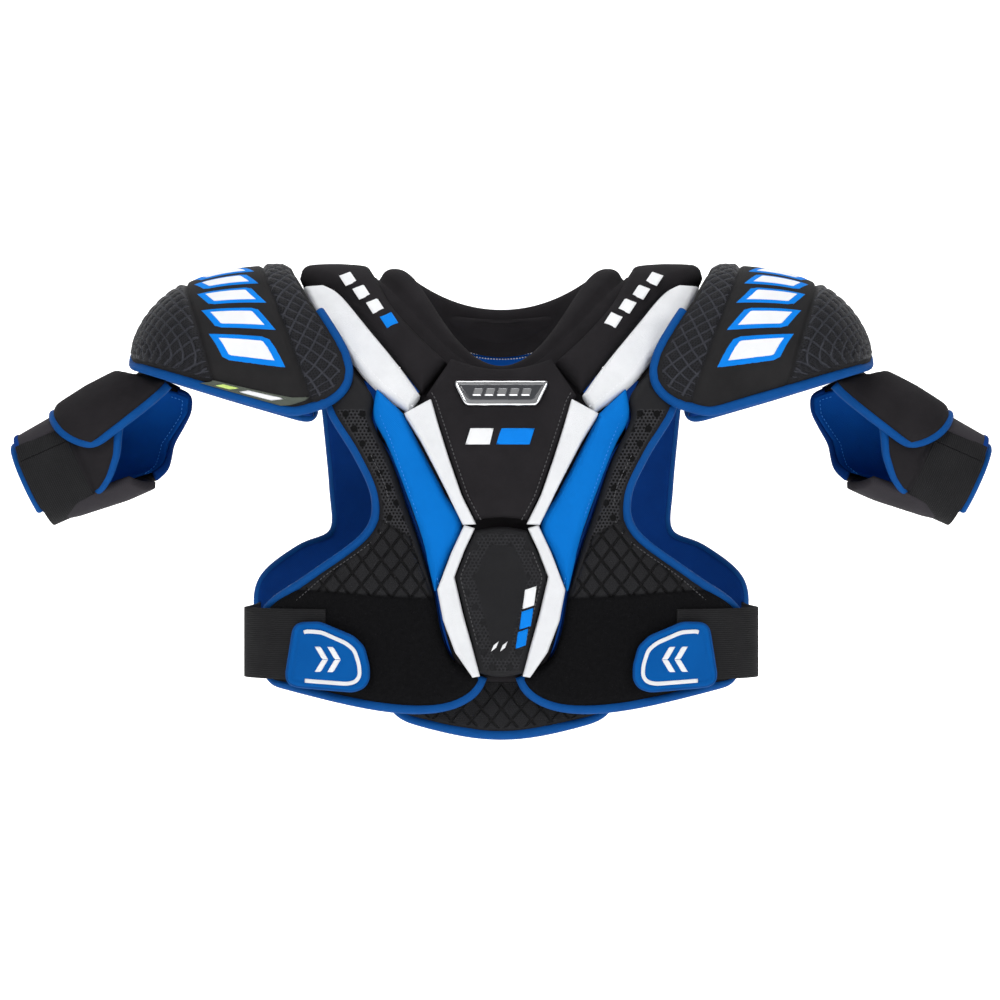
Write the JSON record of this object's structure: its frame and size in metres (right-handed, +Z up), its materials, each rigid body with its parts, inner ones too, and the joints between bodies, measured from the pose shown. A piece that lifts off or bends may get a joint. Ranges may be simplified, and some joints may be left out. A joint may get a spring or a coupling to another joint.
{
  "type": "ice hockey shoulder pads",
  "caption": "Ice hockey shoulder pads with quilted chest and back, raised sternum plates, domed shoulder caps, arm guards and elastic waist straps.",
  "frame": {"origin": "middle of the neck opening, level with the top of the wearer's shoulders under the yoke pads", "axes": "+X to the wearer's left, +Y to the wearer's back, +Z up"},
  "size_m": [0.7988, 0.2812, 0.3818],
  "materials": {
    "black_fabric": "black woven and knitted nylon over foam, quilted and perforated in places",
    "blue_fabric": "royal blue knitted polyester",
    "navy_lining": "dark blue brushed lining",
    "white_leatherette": "white grained leatherette",
    "stiff_sheet": "moulded polyethylene, natural white",
    "black_elastic": "ribbed black elastic webbing",
    "grey_grip": "smooth dark grey rubber-coated fabric",
    "grey_tag": "grey woven tag",
    "chrome": "bright chrome with a dark recessed bar"
  },
  "bodies": {
    "chest": {"chest_panel_left": "black_fabric", "chest_panel_right": "black_fabric", "chest_liner_left": "navy_lining", "chest_liner_right": "navy_lining", "chest_binding_left": "blue_fabric", "chest_binding_right": "blue_fabric", "chest_insert_left": "blue_fabric", "chest_insert_right": "blue_fabric", "sternum_plate_upper": "black_fabric", "sternum_sheet_upper": "stiff_sheet", "sternum_trim_left": "white_leatherette", "sternum_trim_right": "white_leatherette", "badge": "chrome", "yoke_pad_left": "black_fabric", "yoke_pad_right": "black_fabric", "yoke_trim_left": "white_leatherette", "yoke_trim_right": "white_leatherette", "sternum_backing": "black_fabric", "collar_front": "black_fabric"},
    "back": {"back_panel": "black_fabric", "back_liner": "navy_lining", "back_binding": "blue_fabric", "spine_sheet": "stiff_sheet", "spine_pad": "black_fabric", "back_yoke_left": "black_fabric", "back_yoke_right": "black_fabric", "collar_back": "black_fabric"},
    "sternum_lower": {"sternum_plate_lower": "black_fabric", "sternum_sheet_lower": "stiff_sheet", "lower_trim_left": "white_leatherette", "lower_trim_right": "white_leatherette"},
    "belly": {"belly_pad": "black_fabric", "belly_binding": "blue_fabric"},
    "waist_strap_left_body": {"waist_strap_left": "black_elastic", "strap_tab_left": "blue_fabric", "hook_patch_left": "black_elastic"},
    "cap_left": {"cap_cover_left": "black_fabric", "cap_shell_left": "stiff_sheet", "cap_liner_left": "navy_lining", "cap_binding_left": "blue_fabric"},
    "arm_left": {"bicep_pad_left": "black_fabric", "bicep_sheet_left": "stiff_sheet", "arm_sleeve_left": "black_fabric", "arm_lining_left": "blue_fabric", "arm_grip_left": "grey_grip"},
    "arm_strap_left_body": {"arm_strap_left": "black_elastic"},
    "waist_strap_right_body": {"waist_strap_right": "black_elastic", "strap_tab_right": "blue_fabric", "hook_patch_right": "black_elastic"},
    "cap_right": {"cap_cover_right": "black_fabric", "cap_shell_right": "stiff_sheet", "cap_liner_right": "navy_lining", "cap_binding_right": "blue_fabric", "cap_tag": "grey_tag"},
    "arm_right": {"bicep_pad_right": "black_fabric", "bicep_sheet_right": "stiff_sheet", "arm_sleeve_right": "black_fabric", "arm_lining_right": "blue_fabric", "arm_grip_right": "grey_grip"},
    "arm_strap_right_body": {"arm_strap_right": "black_elastic"}
  },
  "joints": [
    {"name": "back_open", "type": "hinge", "parent": "chest", "child": "back", "pos_m": [0, 0, 0.0235], "axis": [1, 0, 0], "range_deg": [0, 20]},
    {"name": "waist_strap_left_swing", "type": "hinge", "parent": "back", "child": "waist_strap_left_body", "pos_m": [0.2114, 0.0845, -0.28], "axis": [0, 0, 1], "range_deg": [0, 80]},
    {"name": "cap_left_lift", "type": "hinge", "parent": "chest", "child": "cap_left", "pos_m": [0.1695, 0, 0.0215], "axis": [0, -1, 0], "range_deg": [0, 45]},
    {"name": "arm_left_lift", "type": "hinge", "parent": "cap_left", "child": "arm_left", "pos_m": [0.3035, 0, -0.064], "axis": [0, -1, 0], "range_deg": [-20, 45]},
    {"name": "arm_strap_left_open", "type": "hinge", "parent": "arm_left", "child": "arm_strap_left_body", "pos_m": [0.3688, -0.03865, -0.13072], "axis": [-0.9135, 0, 0.4067], "range_deg": [0, 70]},
    {"name": "waist_strap_right_swing", "type": "hinge", "parent": "back", "child": "waist_strap_right_body", "pos_m": [-0.2114, 0.0845, -0.28], "axis": [0, 0, -1], "range_deg": [0, 80]},
    {"name": "cap_right_lift", "type": "hinge", "parent": "chest", "child": "cap_right", "pos_m": [-0.1695, 0, 0.0215], "axis": [0, 1, 0], "range_deg": [0, 45]},
    {"name": "arm_right_lift", "type": "hinge", "parent": "cap_right", "child": "arm_right", "pos_m": [-0.3035, 0, -0.064], "axis": [0, 1, 0], "range_deg": [-20, 45]},
    {"name": "arm_strap_right_open", "type": "hinge", "parent": "arm_right", "child": "arm_strap_right_body", "pos_m": [-0.3688, -0.03865, -0.13072], "axis": [-0.9135, 0, -0.4067], "range_deg": [0, 70]},
    {"name": "sternum_flex", "type": "hinge", "parent": "chest", "child": "sternum_lower", "pos_m": [0, -0.139, -0.1885], "axis": [-1, 0, 0], "range_deg": [0, 8]},
    {"name": "belly_flex", "type": "hinge", "parent": "chest", "child": "belly", "pos_m": [0, -0.1148, -0.291], "axis": [1, 0, 0], "range_deg": [0, 20]}
  ],
  "couplings": [
    {"joint": "waist_strap_left_swing", "follows": "back_open", "ratio": 4},
    {"joint": "waist_strap_right_swing", "follows": "back_open", "ratio": 4}
  ]
}
